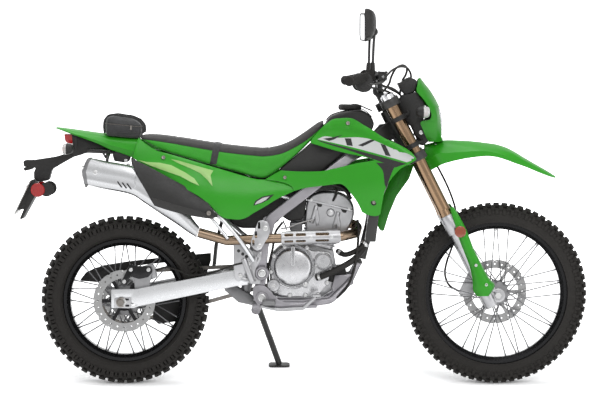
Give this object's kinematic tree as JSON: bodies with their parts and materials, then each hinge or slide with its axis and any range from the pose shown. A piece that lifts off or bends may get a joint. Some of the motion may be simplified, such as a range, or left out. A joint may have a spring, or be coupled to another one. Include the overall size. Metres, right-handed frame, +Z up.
{
  "type": "dual-sport motorcycle",
  "caption": "Light trail motorcycle with knobby wire wheels, high front fender, steering fork and folding side stand.",
  "frame": {"origin": "floor point under the middle of the whole machine's box, leaning 9 degrees on its side stand", "axes": "+X forward from the rear wheel to the front wheel, +Y towards the rider's left, +Z up"},
  "size_m": [2.181, 0.8206, 1.4817],
  "materials": {
    "tyre_rubber": "matt knobby tread",
    "black_rim": "black anodised",
    "bright_metal": "bright",
    "chain_steel": "oiled",
    "fork_bronze": "bronze gold anodised",
    "fork_silver": "satin",
    "bar_black": "black",
    "grip_rubber": "matt",
    "green_plastic": "bright green",
    "clear_lens": "clear",
    "signal_lens": "clear lens",
    "red_lens": "red lens",
    "frame_silver": "silver paint",
    "swingarm_aluminium": "satin",
    "engine_grey": "dark grey paint",
    "caliper_grey": "dark grey",
    "header_bronze": "heat tinted",
    "silencer_metal": "satin",
    "seat_vinyl": "textured vinyl",
    "bag_fabric": "woven nylon"
  },
  "bodies": {
    "chassis": {"air_box": "bar_black", "chain_drive": "chain_steel", "crankcase": "engine_grey", "cylinder": "swingarm_aluminium", "engine_covers": "engine_grey", "exhaust_guards": "bar_black", "exhaust_header": "header_bronze", "foot_controls": "bar_black", "foot_pegs": "bar_black", "frame_spars": "frame_silver", "fuel_cap": "bar_black", "fuel_tank": "bar_black", "lower_frame": "bar_black", "pivot_bolt": "bright_metal", "plate_holder": "bar_black", "radiator": "bar_black", "rear_axle": "bright_metal", "rear_brake_hose": "grip_rubber", "rear_caliper": "caliper_grey", "rear_fender": "green_plastic", "rear_suspension": "bar_black", "rear_turn_signals": "signal_lens", "seat": "seat_vinyl", "shrouds": "green_plastic", "side_panels": "green_plastic", "silencer": "silencer_metal", "subframe": "bar_black", "swingarm": "swingarm_aluminium", "tail_light": "red_lens", "tool_bag": "bag_fabric", "wheel_guards": "bar_black"},
    "steering": {"fork_tubes": "fork_bronze", "fork_sliders": "fork_silver", "front_axle": "bright_metal", "triple_clamps": "fork_silver", "handlebar": "bar_black", "grips": "grip_rubber", "hand_controls": "bar_black", "mirrors": "bar_black", "meter": "bar_black", "front_fender": "green_plastic", "fork_guards": "green_plastic", "headlight_mask": "green_plastic", "headlight": "clear_lens", "headlight_bracket": "bar_black", "front_turn_signals": "signal_lens", "front_caliper": "caliper_grey", "front_brake_hose": "grip_rubber"},
    "front_wheel": {"front_tyre": "tyre_rubber", "front_rim": "black_rim", "front_hub": "bright_metal", "front_spokes": "bright_metal", "front_disc": "bright_metal"},
    "rear_wheel": {"rear_tyre": "tyre_rubber", "rear_rim": "black_rim", "rear_hub": "bright_metal", "rear_spokes": "bright_metal", "rear_disc": "bright_metal", "rear_sprocket": "bright_metal"},
    "side_stand": {"side_stand": "bar_black"}
  },
  "joints": [
    {"name": "steering", "type": "hinge", "parent": "chassis", "child": "steering", "pos_m": [0.31823, -0.01987, 1.03659], "axis": [-0.4493, 0.1398, 0.8824], "range_deg": [-45, 45]},
    {"name": "front_wheel", "type": "hinge", "parent": "steering", "child": "front_wheel", "pos_m": [0.7395, -0.12903, 0.34736], "axis": [0, 0.9877, -0.1564], "continuous": true},
    {"name": "rear_wheel", "type": "hinge", "parent": "chassis", "child": "rear_wheel", "pos_m": [-0.7005, -0.1331, 0.32168], "axis": [0, 0.9877, -0.1564], "continuous": true},
    {"name": "side_stand", "type": "hinge", "parent": "chassis", "child": "side_stand", "pos_m": [-0.1885, -0.01215, 0.26708], "axis": [0.175, 0.9404, 0.2916], "range_deg": [0, 95]}
  ]
}
